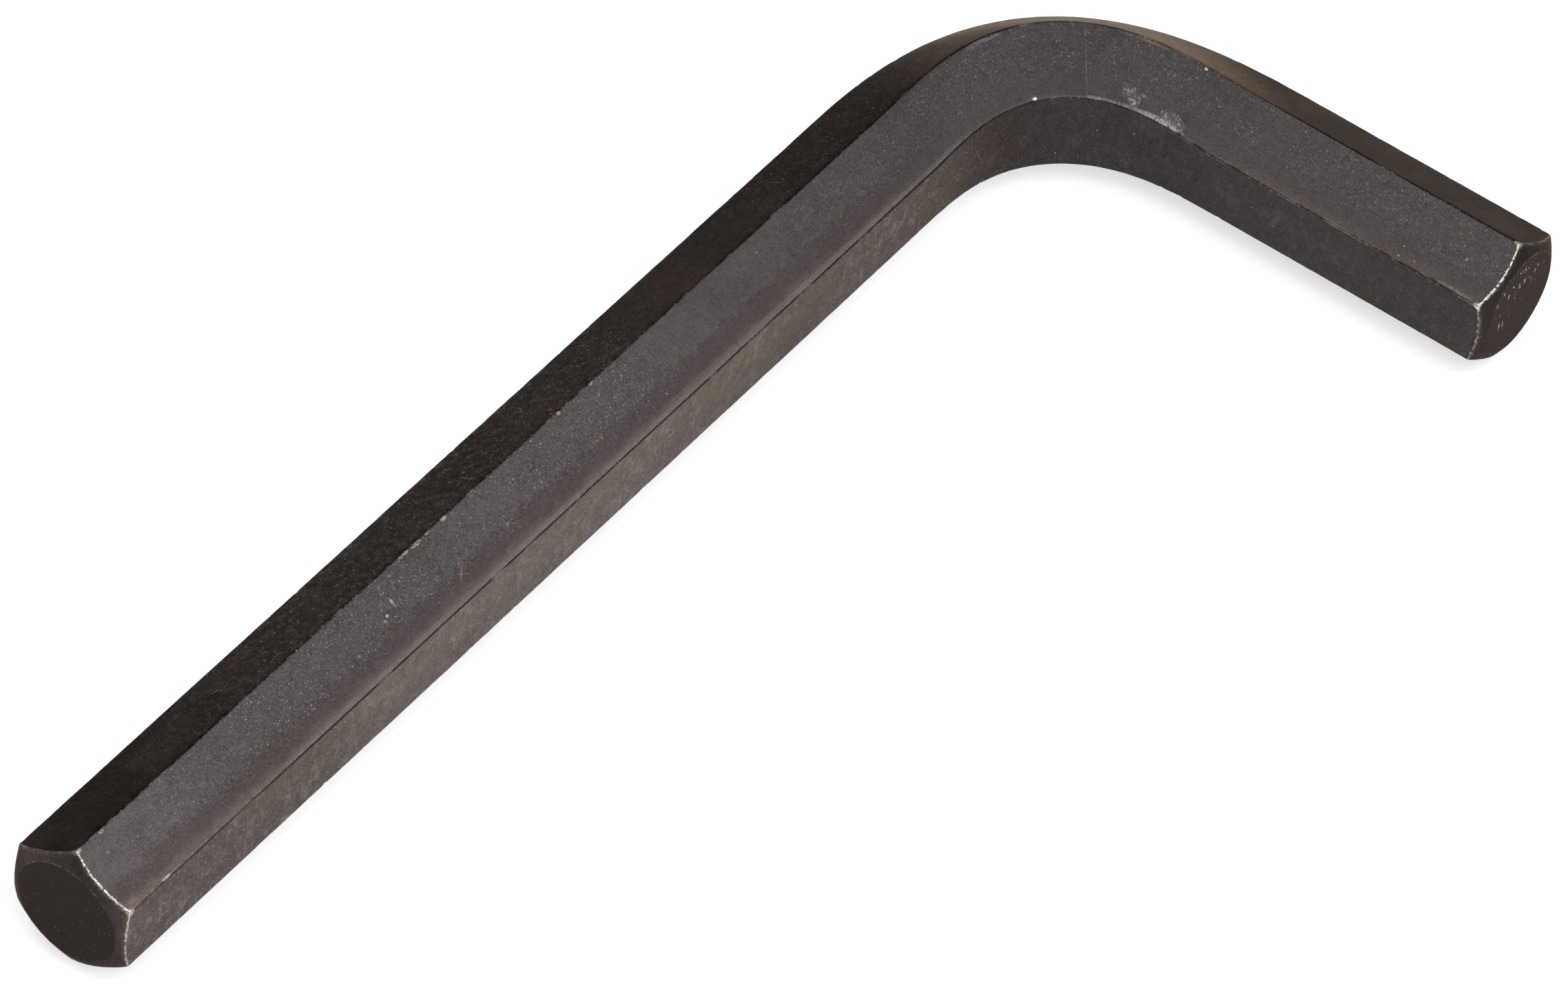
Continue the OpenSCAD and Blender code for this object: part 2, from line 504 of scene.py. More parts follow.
class Shader:
    """A material's nodes."""

    def __init__(self, name):
        self.material = bpy.data.materials.new(name)
        self.material.use_nodes = True
        self.tree = self.material.node_tree
        self.tree.nodes.clear()

    def node(self, kind, settings=None, inputs=None, output=0):
        """Adds a node, sets it, fills its sockets with values or links, and returns one output or some."""
        made = self.tree.nodes.new(kind)
        for name, value in (settings or {}).items():
            setattr(made, name, value)
        for key, value in (inputs or {}).items():
            if isinstance(value, Number):
                self.tree.links.new(value.socket, made.inputs[key])
            else:
                made.inputs[key].default_value = value
        if isinstance(output, tuple):
            return [Number(self, made.outputs[name]) for name in output]
        return Number(self, made.outputs[output]) if made.outputs else None

    def attribute(self, name, output):
        return self.node("ShaderNodeAttribute", {"attribute_name": name}, output=output)

    def vector(self, operation, first, second, output="Vector"):
        return self.node("ShaderNodeVectorMath", {"operation": operation}, {0: first, 1: second}, output)

    def blend(self, factor, first, second):
        """The first colour at 0 and the second at 1."""
        return self.node("ShaderNodeMix", {"data_type": "RGBA"}, {0: factor, 6: first, 7: second}, 2)

    def noise(self, place, scale, detail=2.0, roughness=0.5):
        """Noise about 0.5, with features one over scale across."""
        inputs = {"Vector": place, "Scale": scale, "Detail": detail, "Roughness": roughness}
        return self.node("ShaderNodeTexNoise", {}, inputs)

    def specks(self, place, scale, radius, share, ragged=0.0):
        """Specks of up to the radius, in that share of the cells of a Voronoi pattern."""
        cells = {"Vector": place, "Scale": scale}
        gap, draw = self.node("ShaderNodeTexVoronoi", {}, cells, ("Distance", "Color"))
        choice, size = self.node("ShaderNodeSeparateColor", {}, {0: draw}, (0, 1))
        reach = radius * scale
        speck = (gap + size * reach * 0.6 + ragged).rise(reach, reach * 0.5)
        return speck * choice.rise(share + 0.01, share)

    def finish(self, surface):
        self.node("ShaderNodeOutputMaterial", {}, {"Surface": surface})
        return self.material


def colour(values):
    return (*values, 1)


# Directions in the bar's section, in degrees: 0 is outward from the bend and 90 is up
OUTER_TOP, INNER_TOP, INNER = 60, 120, 180
OUTER_RIDGE, TOP_RIDGE, INNER_RIDGE = 30, 90, 150
LOWER_OUTER_RIDGE, BOTTOM_RIDGE, LOWER_INNER_RIDGE = 330, 270, 210
HIDDEN_FLATS = (0, 300, 240)
SIXTH = 60
# How far inside a flat's plane its mask begins and is whole, and how far each side of a rim, in mm
FLAT_EDGE = (0.1, 0.02)
RIM_EDGE = 0.03
# How far a sixth of an end reaches to each side, in degrees, from nothing to the whole
SIXTH_EDGE = (31, 28)
# Where a mark is whole, as a share of its squared radius
MARK_CORE = 0.15


class Place:
    """Where a point of the surface lies on the straight bar, in millimetres."""

    def __init__(self, shader, sizes):
        self.shader = shader
        self.half = sizes.across_flats / 2 / MM
        self.reach = sizes.across_flats / math.sqrt(3) / MM
        length = BarShape.length_of(sizes) / MM
        bend_start = (sizes.long_reach - sizes.bend_radius) / MM
        bend_end = bend_start + sizes.bend_radius * math.pi / 2 / MM
        self.point = shader.attribute("bar_mm", "Vector")
        self.past_rim = shader.attribute("past_rim_mm", "Fac")
        self.past_lip = shader.attribute("past_lip_mm", "Fac")
        self.along = self.toward((1, 0, 0))
        self.into_bend = self.along - bend_start
        self.past_bend = self.along - bend_end
        self.on_side = self.past_rim.rise(RIM_EDGE, -RIM_EDGE)
        self.on_end = 1 - self.on_side
        self.on_far_end = self.on_end * self.along.rise(length / 2, length / 2 + 1)
        self.on_near_end = self.on_end - self.on_far_end
        self.across = shader.vector("MULTIPLY", self.point, (0, 1, 1))
        self.way = shader.node("ShaderNodeVectorMath", {"operation": "NORMALIZE"}, {0: self.across})
        self.flats = {angle: self.flat_mask(angle) for angle in range(0, 360, SIXTH)}
        self.corners = {angle: self.corner_gap(angle) for angle in range(OUTER_RIDGE, 360, SIXTH)}
        self.grain = shader.noise(self.point, 6.5, 3, 0.66)
        self.dots = shader.noise(self.point, 4.5, 3, 0.6)
        self.mottle = shader.noise(self.point, 1.5, 4, 0.7)
        self.patches = shader.noise(self.point, 0.16, 3, 0.6)
        self.clumps = shader.noise(self.point, 0.75, 3, 0.6)
        self.cloud = shader.noise(self.point, 1.3, 4, 0.65)

    def direction(self, degrees):
        angle = math.radians(degrees)
        return Vector((0, math.cos(angle), math.sin(angle)))

    def toward(self, direction):
        """Distance from the middle of the long arm's end face in one direction."""
        return self.shader.vector("DOT_PRODUCT", self.point, direction, "Value")

    def flat_mask(self, degrees):
        """1 on a flat, and 0 on the corners beside it and on the ends."""
        begins, whole = (self.half - inside for inside in FLAT_EDGE)
        return self.toward(self.direction(degrees)).rise(begins, whole) * self.on_side

    def corner_gap(self, degrees):
        """Distance from one of the long corners."""
        return self.shader.vector("DISTANCE", self.across, self.direction(degrees) * self.reach, "Value")

    def on_flat(self, degrees):
        return self.flats[degrees]

    def from_corner(self, degrees):
        return self.corners[degrees]

    def facing(self, degrees):
        """1 on the sixth of an end face that lies toward a flat."""
        share = self.shader.vector("DOT_PRODUCT", self.way, self.direction(degrees), "Value")
        return share.rise(*(math.cos(math.radians(reach)) for reach in SIXTH_EDGE))

    def mark(self, flat, along, share, length, width, turn=0):
        """A soft oval on a flat, at a distance along the bar and a share of the way across it."""
        over, level = self.direction(flat), self.direction(flat + 90)
        centre = Vector((along, 0, 0)) + over * self.half + level * (share - 0.5) * self.reach
        axes = Matrix(((1, 0, 0), level, -over)).transposed() @ Matrix.Rotation(math.radians(turn), 3, "Z")
        oval = self.shader.node("ShaderNodeMapping", {"vector_type": "TEXTURE"}, {
            "Vector": self.point, "Location": centre, "Rotation": axes.to_euler(),
            "Scale": (length / 2, width / 2, self.half),
        })
        squared = self.shader.vector("DOT_PRODUCT", oval, oval, "Value")
        return squared.rise(1, MARK_CORE) * self.on_flat(flat)


class Look:
    """A surface's colour, roughness and height in millimetres, laid on in layers."""

    def __init__(self, shader, tone, roughness):
        self.shader, self.tone, self.roughness, self.height = shader, tone, roughness, 0.0

    def lay(self, mask, tone=None, roughness=None, raised=None):
        if tone is not None:
            self.tone = self.shader.blend(mask, self.tone, colour(tone))
        if roughness is not None:
            self.roughness = mask * (roughness - self.roughness) + self.roughness
        if raised is not None:
            self.height = mask * raised + self.height

    def shade(self, factor):
        self.tone = self.shader.node(
            "ShaderNodeVectorMath", {"operation": "SCALE"}, {0: self.tone, "Scale": factor})


# Runs along a flat that are lighter or darker, as [flat, start, end, soft margin, gain], in mm
UNEVEN_RUNS = (
    (INNER_TOP, -9, 8, 7, 0.15),
    (INNER_TOP, 46, 80, 8, 0.10),
    (INNER_TOP, 100, 123, 8, -0.18),
    (INNER_TOP, 128, 152, 8, -0.08),
    (INNER, -9, 22, 8, -0.17),
    (INNER, 30, 60, 8, 0.10),
    # Painted shade: the inner flat darker toward and through the bend, where the table it mirrors lies in
    # shadow
    (INNER, 80, 108, 6, -0.19),
    (INNER, 114, 126, 6, -0.10),
    (OUTER_TOP, 26, 44, 8, 0.30),
    (OUTER_TOP, 66, 80, 6, 0.25),
)
# Stretches of the long arm with a finish of their own, as [start, end, soft margin], in mm from its end
OLIVE_RUN = (22, 78, 12)
BROWNED_RUN = (30, 74, 18)
BLOTCHED_RUN = (25, 60, 14)
GRAINY_RUN = (20, 58, 15)
SMOOTH_RUN = (70, 80, 6)
# Scratches over the bar, as [stretch along and across, scale, width, width of the smear beside it, strength]
SCRATCHES = (
    ((1.0, 0.3, 0.3), 0.7, 0.016, 0.08, 0.55),
    ((0.45, 0.6, 0.6), 0.6, 0.014, 0.0, 0.5),
    ((0.12, 0.9, 0.9), 0.9, 0.010, 0.0, 0.3),
)


def lay_oxide_and_painted_light(look, place, finish):
    """The oxide: grey on top, brown inside, painted shade making the outer flat nearly black and the inner
    flat darker from the bend on, and a painted tan highlight.
    """
    inner, outer_top = place.on_flat(INNER), place.on_flat(OUTER_TOP)
    look.lay(inner, finish.inner_oxide)
    near_ridge = place.from_corner(INNER_RIDGE) + (place.clumps - 0.5) * 5
    look.lay(near_ridge.rise(4.0, 1.5) * place.along.band(*OLIVE_RUN) * inner * 0.8, finish.olive)
    # Painted shade: the inner flat darker from just before the bend on, for the shadowed table it mirrors in
    # the bend
    look.lay(place.into_bend.rise(-12, 16) * inner, finish.dark_and_shade)
    hidden = reduce(Number.most, [place.on_flat(flat) for flat in HIDDEN_FLATS])
    look.lay(hidden, finish.dark_and_shade, 0.46)
    look.lay(hidden * place.patches.rise(0.62, 0.36) * 0.5, finish.soot_and_shade)
    # Painted shade: the outer flat laid nearly black, for the dark room that it mirrors
    look.lay(outer_top, finish.soot_and_shade, 0.46)
    browned = place.along.band(*BROWNED_RUN) * place.patches.rise(0.2, 0.6)
    look.lay(browned * outer_top * 0.5, finish.dark_and_shade)
    # Painted highlight: a ragged tan patch on the outer flat through the bend, where it mirrors the lamps
    ragged = place.into_bend + (place.dots - 0.5) * 8 + (place.from_corner(TOP_RIDGE) - 3) * 1.2
    look.lay(ragged.rise(10, 15) * ragged.rise(35, 24) * outer_top * 0.74, finish.tan)
    look.lay(place.patches.rise(0.5, 0.66) * (1 - inner) * 0.35, finish.brown)
    look.shade(0.9 + 0.2 * look.shader.noise(place.point, 0.5, 2))


def lay_uneven_runs(look, place):
    """The slow changes of tone along each flat, painted shade on the inner flat by the bend among them."""
    for flat, start, end, soft, gain in UNEVEN_RUNS:
        look.shade(1 + place.along.band(start, end, soft) * place.on_flat(flat) * gain)


def lay_mottle(look, place, finish):
    """Blotches of all sizes, strong on the inner and outer flats of the long arm."""
    inner, outer_top = place.on_flat(INNER), place.on_flat(OUTER_TOP)
    long_arm = place.into_bend.rise(14, 4)
    bent_outside = place.into_bend.band(10, 28, 4) * outer_top
    look.shade(1 + (place.mottle - 0.5) * (0.7 + inner * long_arm * 0.5 + bent_outside))
    blotched = 0.15 + 0.35 * place.along.band(*BLOTCHED_RUN)
    look.lay(place.mottle.rise(0.42, 0.66) * outer_top * blotched * long_arm, finish.inner_oxide)


def lay_draw_lines(look, place):
    """Faint lines along the bar from drawing it through the die."""
    along = look.shader.vector("MULTIPLY", place.point, (0.03, 1, 1))
    lines = look.shader.noise(along, 3.2, 3, 0.6)
    look.shade(0.93 + 0.14 * lines)
    look.lay(lines, raised=0.002)


def lay_brown_band(look, place, finish):
    """The smooth brown band on the top flat, and the paler rubbed strip between it and the inner edge."""
    gap = place.from_corner(INNER_RIDGE)
    straight = place.into_bend.rise(8, -6).most(place.past_bend.rise(-5, 5) * 0.5)
    where = place.on_flat(INNER_TOP) * straight
    band = gap + (place.clumps - 0.5) * 2.2
    look.lay(band.band(1.2, 2.0, 0.6) * where * 0.55, finish.brown, 0.4)
    strip = gap + (place.clumps - 0.5) * 0.8
    look.lay(strip.rise(0.95, 0.3) * where * 0.22, finish.tan, 0.4)


def grain_density(place):
    """How thick the pale grains lie: most on the long arm's top flat, and few on its smooth stretch."""
    clumped = place.clumps.rise(0.38, 0.6)
    grainy = place.along.band(*GRAINY_RUN) * 0.35 + 0.4
    top = place.on_flat(INNER_TOP) * place.from_corner(INNER_RIDGE).rise(0.9, 2.4) * place.along.rise(1.5, 6)
    inner = place.on_flat(INNER) * place.into_bend.rise(16, 0)
    outer = place.on_flat(OUTER_TOP) * place.along.rise(2, 26) * place.into_bend.rise(29, -26)
    on_flats = (
        top * grainy * (0.4 + clumped * 0.6)
        + inner * (0.3 + 0.35 * clumped)
        + outer * (0.35 + 0.95 * clumped)
    )
    return (on_flats + 0.12) * place.on_side * (1 - place.along.band(*SMOOTH_RUN) * 0.75)


def lay_grain(look, place, finish):
    """Pale sandy grains over darker pits, with white points among them."""
    shader = look.shader
    density = grain_density(place)
    look.shade(1 + (place.grain - 0.5) * (0.7 + 0.7 * density) * place.on_side)
    look.lay(place.grain.rise(0.46, 0.3) * (0.12 + 0.4 * density), finish.soot_and_shade, 0.5, -0.004)
    look.lay(place.grain.rise(0.55, 0.74) * density * 0.85, finish.sand_and_sheen, 0.46, 0.004)
    points = shader.specks(place.point, 3.8, 0.08, 0.5, (place.grain - 0.5) * 0.6)
    look.lay(points * (density * 0.8 - 0.03).most(0), finish.dust, 0.45, 0.006)
    fine = shader.noise(place.point, 13, 1)
    look.shade(0.87 + 0.26 * fine)


def lay_scratches(look, place, finish):
    """Fine curved scratches and smears, mostly across the inner flat of the long arm."""
    shader = look.shader
    inner = place.on_flat(INNER) * (place.into_bend.rise(8, -4) * 0.95 + 0.05)
    for stretch, scale, width, smear, strength in SCRATCHES:
        stretched = shader.vector("MULTIPLY", place.point, stretch)
        off_line = (shader.noise(stretched, scale, 2, 0.45) - 0.5).size()
        broken = shader.noise(place.point, 0.3 + 0.4 * strength, 3, 0.7).rise(0.5, 0.62)
        mark = off_line.rise(width, 0) * strength
        if smear:
            mark = mark.most(off_line.rise(smear, 0) * 0.3)
        look.lay(mark * broken * (inner * 0.9 + 0.1), finish.sand_and_sheen, 0.4)
    across = shader.vector("MULTIPLY", place.point, (1.0, 0.4, 0.4))
    smears = shader.noise(across, 1.4, 4, 0.6).rise(0.54, 0.72) * place.clumps.rise(0.45, 0.6)
    look.lay(smears * inner * 0.3, finish.sand_and_sheen)


def lay_specks(look, place, finish):
    """Scattered specks of bare steel and dust, and a few of rust."""
    ragged = (place.grain - 0.5) * 0.25
    for scale, radius, share, strength, tone, roughness in (
        (1.5, 0.09, 0.12, 0.7, finish.dust, 0.5),
        (2.6, 0.06, 0.4, 0.45, finish.sand_and_sheen, 0.5),
        (0.6, 0.14, 0.06, 0.5, finish.rust, 0.6),
    ):
        specks = look.shader.specks(place.point, scale, radius, share, ragged)
        look.lay(specks * place.on_side * strength, tone, roughness)


def lay_corners(look, place, finish):
    """The long edges: pale or tan here and there, and on the inner one a painted shade line in its crease
    with a painted highlight beside it.
    """
    worn = look.shader.noise(place.point, 0.45, 4, 0.7)
    for corner, wear, tone in (
        (TOP_RIDGE, 0.6, finish.dust), (INNER_RIDGE, 0.5, finish.sand_and_sheen),
        (OUTER_RIDGE, 0.8, finish.tan), (LOWER_INNER_RIDGE, 0.4, finish.tan),
        (LOWER_OUTER_RIDGE, 0.4, finish.tan), (BOTTOM_RIDGE, 0.4, finish.tan),
    ):
        gap = place.from_corner(corner)
        rubbed = (worn * 0.9 + place.dots * 0.4 - gap * 1.2).rise(0.6, 0.8)
        look.lay(rubbed * wear * place.on_side, tone, 0.38)
    gap = place.from_corner(INNER_RIDGE)
    top = place.on_flat(INNER_TOP) * place.into_bend.rise(10, 2)
    # Painted highlight: a pale strip and a fine pale line on the top flat just beside the inner corner
    strip = gap.band(0.16, 0.34, 0.2) * top * place.along.rise(6, 26)
    look.lay(strip * (0.08 + 0.28 * worn), finish.sand_and_sheen, 0.38)
    look.lay(gap.band(0.15, 0.2, 0.05) * top * place.dots.rise(0.45, 0.65) * 0.5, finish.sand_and_sheen, 0.35)
    # Painted shade: a dark line along the inner corner, standing for the shade in its crease
    crease_shade = gap.rise(0.12, 0.05) * place.on_side * worn.rise(0.66, 0.54) * place.into_bend.rise(12, 2)
    look.lay(crease_shade * (0.45 + 0.35 * place.along.rise(10, 25)), finish.soot_and_shade, 0.5)
    broken = (worn + (place.dots - 0.5) * 0.6).rise(0.42, 0.58)
    edge = gap.rise(0.22, 0.08) * place.on_side * broken
    look.lay(edge * place.into_bend.rise(24, 31) * 0.55, finish.sand_and_sheen, 0.38)


def lay_ends(look, place, finish):
    """The end faces: rough and nearly black, with painted light on the upper side of the chamfers and their
    fringe, a line round the flat, dust and flecks.
    """
    shader, dots, cloud = look.shader, place.dots, place.cloud
    edge = place.past_rim.size()
    look.lay(place.on_end, finish.end_black, 0.62)
    # Painted light: the chamfers are laid paler on the upper side of each end, less so on the far end
    lit = place.toward(place.direction(110)).rise(-2.5, 2.5) * (1 - 0.7 * place.on_far_end)
    chamfer = place.on_end * (place.past_lip + (cloud - 0.5) * 0.5).rise(0.1, -0.2)
    look.lay(chamfer * lit * (0.4 + cloud.rise(0.35, 0.65) * 0.4), finish.chamfer_light, 0.6)
    # Painted light: the near end's chamfer paler toward the outer flat
    look.lay(chamfer * place.on_near_end * place.facing(OUTER_TOP) * 0.6, finish.chamfer_light)
    look.lay(place.on_end * dots.rise(0.5, 0.72) * 0.3, finish.brown)
    # The tan fringe by the rim, with painted light added on the upper side
    fringe = (edge + (dots - 0.5) * 0.9).rise(0.42, 0.08) * place.on_end
    look.lay(fringe * (0.1 + 0.25 * lit), finish.tan, 0.5)
    line = place.past_lip.size().rise(0.1, 0.02) * dots.rise(0.35, 0.6) * cloud.rise(0.35, 0.55)
    look.lay(line * place.on_end * place.toward(place.direction(85)).rise(1.2, 3.6) * 0.6, finish.tan, 0.45)
    dust = shader.specks(place.point, 3.4, 0.07, 0.5, (dots - 0.5) * 0.3)
    look.lay(dust * place.on_end * 0.5, finish.sand_and_sheen, 0.45)
    slanted = shader.vector("MULTIPLY", place.point, (1.0, 0.9, 0.35))
    flecks = shader.noise(slanted, 4.2, 2, 0.6).rise(0.645, 0.69)
    flecked = place.toward(place.direction(125)).rise(-0.8, 2.0) * place.on_far_end
    look.lay(flecks * flecked * place.past_lip.rise(0.1, 0.5), finish.dust, 0.4)


def lay_rims(look, place, finish):
    """The chamfers' bright outer edges, and the corners where they meet the long edges."""
    edge, dots, cloud = place.past_rim.size(), place.dots, place.cloud
    ragged = edge + (dots - 0.5) * 0.6 + (cloud - 0.5) * 0.3
    bright = (0.6 + cloud.rise(0.38, 0.58) * 0.4) * (1 - 0.65 * place.on_far_end * place.facing(INNER))
    for flat, width, strength in ((INNER_TOP, 0.085, 0.95), (INNER, 0.06, 0.65), (OUTER_TOP, 0.06, 0.3)):
        rim = ragged.rise(width + 0.04, width - 0.04) * place.facing(flat)
        look.lay(rim * strength * bright, finish.steel, 0.3)
    for corner, tone in ((INNER_RIDGE, finish.steel), (TOP_RIDGE, finish.cream)):
        gap = place.from_corner(corner) + edge * 0.6 + (dots - 0.5) * 0.7
        look.lay(gap.rise(0.5, 0.2) * 0.9, tone, 0.33)
    scuffed = place.from_corner(INNER_RIDGE) + edge * 0.5 + (cloud - 0.5) * 2
    look.lay(scuffed.rise(1.4, 0.6) * dots.rise(0.45, 0.6) * place.along.rise(6, 4) * 0.5, finish.tan, 0.45)


# Marks that can be seen, as [flat, colour, marks], each mark as [distance along, share across, length, width,
# turn, strength]. Sizes are in mm, and a turn is in degrees from along the bar toward across it.
SEEN_MARKS = (
    (INNER_TOP, "cream", (
        (3.4, 0.02, 0.7, 0.4, 0, 0.8), (37.8, 0.02, 1.4, 0.35, 0, 1.0), (39.2, 0.03, 1.3, 0.45, 0, 1.0),
        (40.6, 0.02, 0.7, 0.3, 0, 0.6), (42.5, 0.02, 0.8, 0.5, 0, 1.0), (56.2, 0.02, 0.5, 0.4, 0, 0.7),
        (60.1, 0.02, 0.5, 0.4, 0, 0.7),
    )),
    (INNER_TOP, "tan", (
        (40.5, 0.69, 1.5, 0.26, 31, 0.6), (40.5, 0.69, 1.5, 0.24, -39, 0.6), (119.0, 0.04, 4.6, 0.35, 0, 0.6),
        (1.5, 0.93, 1.6, 0.9, 0, 0.5),
    )),
    (INNER_TOP, "dust", (
        (34.4, 0.37, 0.3, 1.1, 0, 0.6), (33.3, 0.45, 0.35, 0.3, 0, 1.0), (32.9, 0.48, 0.3, 0.3, 0, 0.8),
        # The long mark at 121.6 mm is a painted highlight along the inner corner of the bend
        (121.6, 0.955, 6.0, 0.55, 0, 0.6),
    )),
    (INNER_TOP, "steel", (
        (123.8, 0.04, 0.35, 0.3, 0, 0.9), (5.1, 0.97, 1.6, 0.25, 0, 0.6), (110.2, 0.97, 0.5, 0.4, 0, 0.9),
    )),
    (INNER_TOP, "sand_and_sheen", (
        # The mark at 119.0 mm is a painted highlight along the inner corner of the bend
        (107.5, 0.04, 4.0, 0.5, 0, 0.5), (115.6, 0.97, 2.4, 0.35, 0, 0.7), (119.0, 0.965, 8.5, 0.3, 0, 0.7),
        (149.9, 0.955, 3.8, 0.25, 0, 0.6), (80.0, 0.92, 44.0, 0.12, 0.75, 0.3),
        (114.8, 0.45, 0.13, 8.0, 0, 0.35),
    )),
    (INNER_TOP, "rust", ((30.5, 0.97, 0.5, 0.4, 0, 0.8),)),
    (INNER, "rust", ((23.0, 0.05, 1.0, 0.3, 0, 0.4),)),
    (OUTER_TOP, "sand_and_sheen", ((47.3, 0.73, 0.3, 2.0, 0, 0.6),)),
)
# Patches of short white strokes on the top flat, as [distance along, share across, length, width]
SEEN_SCUFFS = ((118.7, 0.80, 3.0, 2.3), (122.7, 0.87, 3.2, 1.6))


def lay_marks(look, place, finish):
    """The nicks, scratches and rust spots that can be told apart, and a painted highlight along the inner
    corner of the bend.
    """
    ragged = look.shader.noise(place.point, 4.0, 3, 0.65).rise(0.38, 0.56)
    for flat, tone, marks in SEEN_MARKS:
        for *oval, strength in marks:
            look.lay(place.mark(flat, *oval) * ragged * strength, getattr(finish, tone), 0.42)


def lay_scuffs(look, place, finish):
    """The patches of short white strokes by the inner corner of the bend."""
    shader = look.shader
    across = shader.noise(shader.vector("MULTIPLY", place.point, (3.4, 0.9, 0.9)), 1.9, 2, 0.6)
    lengthwise = shader.noise(shader.vector("MULTIPLY", place.point, (0.7, 2.6, 2.6)), 2.1, 2, 0.6)
    strokes = across.rise(0.53, 0.61).most(lengthwise.rise(0.56, 0.64)) * place.dots.rise(0.4, 0.6)
    loose = (place.mottle - 0.5) * 2.2 + (place.clumps - 0.5) * 1.2
    for along, share, length, width in SEEN_SCUFFS:
        oval = place.mark(INNER_TOP, along, share, length, width)
        patch = (oval + loose).rise(0.4, 1.1) * oval.rise(0, 0.25)
        look.lay(patch * (0.07 + 0.6 * strokes), finish.dust, 0.42)


def oxide_material(sizes, finish):
    shader = Shader("black_oxide_worn_and_painted_light")
    place = Place(shader, sizes)
    look = Look(shader, colour(finish.oxide), finish.roughness)
    lay_oxide_and_painted_light(look, place, finish)
    lay_uneven_runs(look, place)
    lay_mottle(look, place, finish)
    lay_draw_lines(look, place)
    lay_brown_band(look, place, finish)
    lay_grain(look, place, finish)
    lay_scratches(look, place, finish)
    lay_specks(look, place, finish)
    lay_corners(look, place, finish)
    lay_ends(look, place, finish)
    lay_rims(look, place, finish)
    lay_marks(look, place, finish)
    lay_scuffs(look, place, finish)
    bump = shader.node("ShaderNodeBump", {}, {"Distance": MM, "Height": look.height})
    surface = shader.node("ShaderNodeBsdfPrincipled", {}, {
        "Base Color": look.tone, "Metallic": 1.0, "Roughness": look.roughness,
        "Specular Tint": colour(finish.edge_tint), "Normal": bump,
    })
    return shader.finish(surface)


class HEXKEY_OT_bar(Operator):
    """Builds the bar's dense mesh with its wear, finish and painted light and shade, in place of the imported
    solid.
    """

    bl_idname = "hexkey.bar"
    bl_label = "Bar"

    def execute(self, context):
        scene = context.scene
        shape = BarShape(scene.hexkey_sizes)
        wear_away(shape, scene.hexkey_wear)
        bar = bpy.data.objects.new(NODE + "_bar", bar_mesh(shape))
        scene.collection.objects.link(bar)
        bar.data.materials.append(oxide_material(scene.hexkey_sizes, scene.hexkey_finish))
        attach(bar, BODY)
        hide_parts(NODE)
        return {"FINISHED"}


def table_material(setting):
    """A matt table that glows a little where it is seen, so that it is white and keeps its shadow."""
    shader = Shader("white_table")
    rays = ("Is Camera Ray", "Is Glossy Ray", "Is Transmission Ray")
    seen, mirrored, through = shader.node("ShaderNodeLightPath", output=rays)
    strength = seen * setting.table_glow + mirrored.most(through) * setting.mirrored_glow
    matt = shader.node("ShaderNodeBsdfDiffuse", {}, {"Color": colour(setting.table_colour)})
    glow = shader.node("ShaderNodeEmission", {}, {"Color": colour((1, 1, 1)), "Strength": strength})
    both = shader.node("ShaderNodeAddShader", {}, {0: matt, 1: glow})
    return shader.finish(both)


def aimed(place, aim, roll=0.0):
    """A matrix that stands at place and looks at aim along its own -Z, with its +Y up."""
    turn = (Vector(aim) - Vector(place)).to_track_quat("-Z", "Y").to_matrix().to_4x4()
    return Matrix.Translation(place) @ turn @ Matrix.Rotation(roll, 4, "Z")


# Soft boxes that face the bar, as [name, azimuth, elevation, distance, width, height, radiance].
# Azimuth 0 is toward +X and 90 toward +Y, in degrees, and sizes are in metres.
SOFT_BOXES = (
    ("right_box", -40, 45, 0.75, 0.5, 0.5, 0.85),
    ("back_box", 135, 60, 0.75, 0.5, 0.4, 0.8),
    ("far_box", 45, 55, 0.75, 0.5, 0.4, 0.5),
    ("front_box", -120, 30, 0.8, 0.6, 0.4, 1.5),
    ("left_box", -150, 60, 0.8, 0.5, 0.4, 2.2),
    ("near_box", -80, 50, 0.75, 0.5, 0.4, 1.7),
    ("top_box", 0, 90, 0.7, 0.6, 0.6, 0.6),
)


# The camera's film in mm, and the distances in metres between which it sees things
SENSOR_WIDTH = 36
CLIP_RANGE = (0.05, 20)


def around(azimuth, elevation, distance):
    """A place round the origin."""
    turn, rise = math.radians(azimuth), math.radians(elevation)
    level = distance * math.cos(rise)
    return Vector((level * math.cos(turn), level * math.sin(turn), distance * math.sin(rise)))


def add_table(scene, setting):
    half = setting.table_size / 2
    corners = [(-half, -half, 0), (half, -half, 0), (half, half, 0), (-half, half, 0)]
    mesh = bpy.data.meshes.new("table")
    mesh.from_pydata(corners, [], [(0, 1, 2, 3)])
    mesh.materials.append(table_material(setting))
    table = bpy.data.objects.new("table", mesh)
    scene.collection.objects.link(table)


def add_soft_boxes(scene):
    for name, azimuth, elevation, distance, width, height, radiance in SOFT_BOXES:
        light = bpy.data.lights.new(name, "AREA")
        light.shape = "RECTANGLE"
        light.size, light.size_y = width, height
        light.energy = radiance * math.pi * width * height
        lamp = bpy.data.objects.new(name, light)
        lamp.matrix_world = aimed(around(azimuth, elevation, distance), (0, 0, 0))
        scene.collection.objects.link(lamp)


def set_room(scene, setting):
    world = bpy.data.worlds.new("room")
    world.use_nodes = True
    world.node_tree.nodes["Background"].inputs["Color"].default_value = colour(setting.room)
    scene.world = world


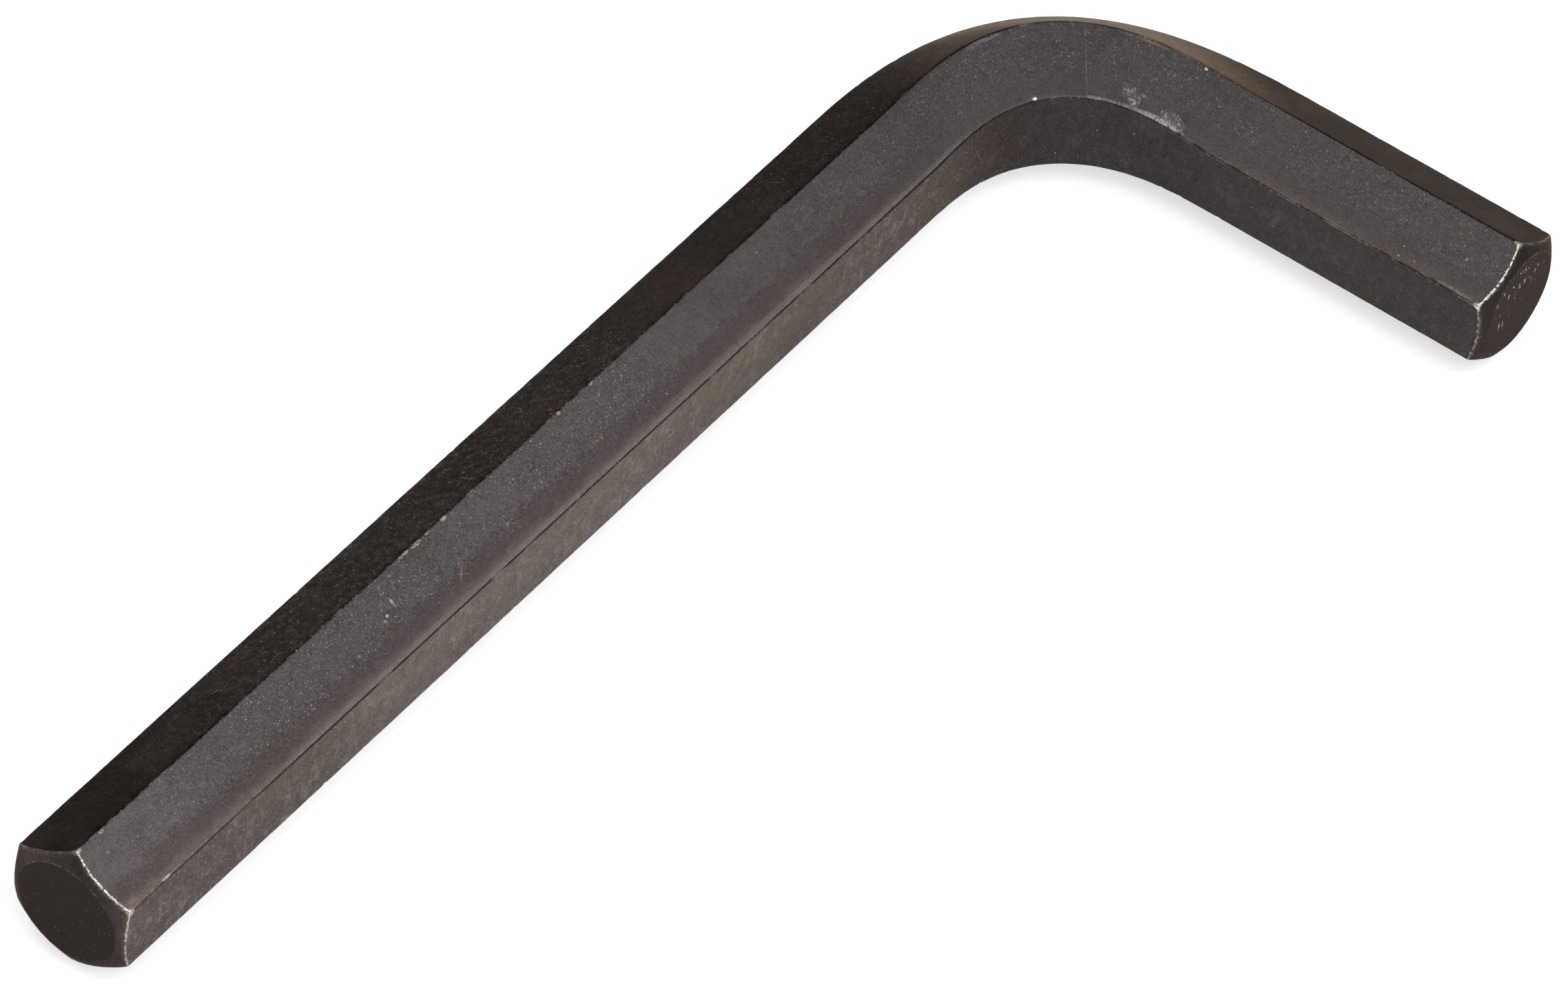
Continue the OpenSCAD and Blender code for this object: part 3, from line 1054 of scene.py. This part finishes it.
def add_camera(scene, setting):
    data = bpy.data.cameras.new("camera")
    data.sensor_fit = "HORIZONTAL"
    data.sensor_width = SENSOR_WIDTH
    data.lens = setting.lens
    data.clip_start, data.clip_end = CLIP_RANGE
    camera = bpy.data.objects.new("camera", data)
    camera.matrix_world = aimed(setting.camera_place, setting.camera_aim, setting.camera_roll)
    scene.collection.objects.link(camera)
    scene.camera = camera


class HEXKEY_OT_stage(Operator):
    """Sets the table, the soft boxes, the room and the camera."""

    bl_idname = "hexkey.stage"
    bl_label = "Table, lamps and camera"

    def execute(self, context):
        scene = context.scene
        setting = scene.hexkey_table
        add_table(scene, setting)
        add_soft_boxes(scene)
        set_room(scene, setting)
        add_camera(scene, setting)
        scene.view_settings.view_transform = "Standard"
        return {"FINISHED"}


class HEXKEY_PT_panel(Panel):
    """Lists the operators and their settings."""

    bl_idname = "HEXKEY_PT_panel"
    bl_label = "Hex Key"
    bl_space_type = "VIEW_3D"
    bl_region_type = "UI"
    bl_category = "Hex Key"

    def draw(self, context):
        layout = self.layout
        for operator in OPERATORS:
            layout.operator(operator.bl_idname)
        for group in GROUPS:
            settings = getattr(context.scene, group)
            layout.separator()
            for name in settings.__annotations__:
                layout.prop(settings, name)


OPERATORS = (HEXKEY_OT_bar, HEXKEY_OT_stage)
GROUPS = {
    "hexkey_sizes": BarSizes,
    "hexkey_wear": WearAmounts,
    "hexkey_finish": OxideFinish,
    "hexkey_table": TableSetting,
}


def register():
    for made in (*GROUPS.values(), *OPERATORS, HEXKEY_PT_panel):
        bpy.utils.register_class(made)
    for name, group in GROUPS.items():
        setattr(bpy.types.Scene, name, PointerProperty(type=group))


def unregister():
    for name in GROUPS:
        delattr(bpy.types.Scene, name)
    for made in reversed((*GROUPS.values(), *OPERATORS, HEXKEY_PT_panel)):
        bpy.utils.unregister_class(made)


def main():
    """Builds everything."""
    register()
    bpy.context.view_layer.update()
    bpy.ops.hexkey.bar()
    bpy.ops.hexkey.stage()
    bpy.context.view_layer.update()


if __name__ == "__main__":
    main()
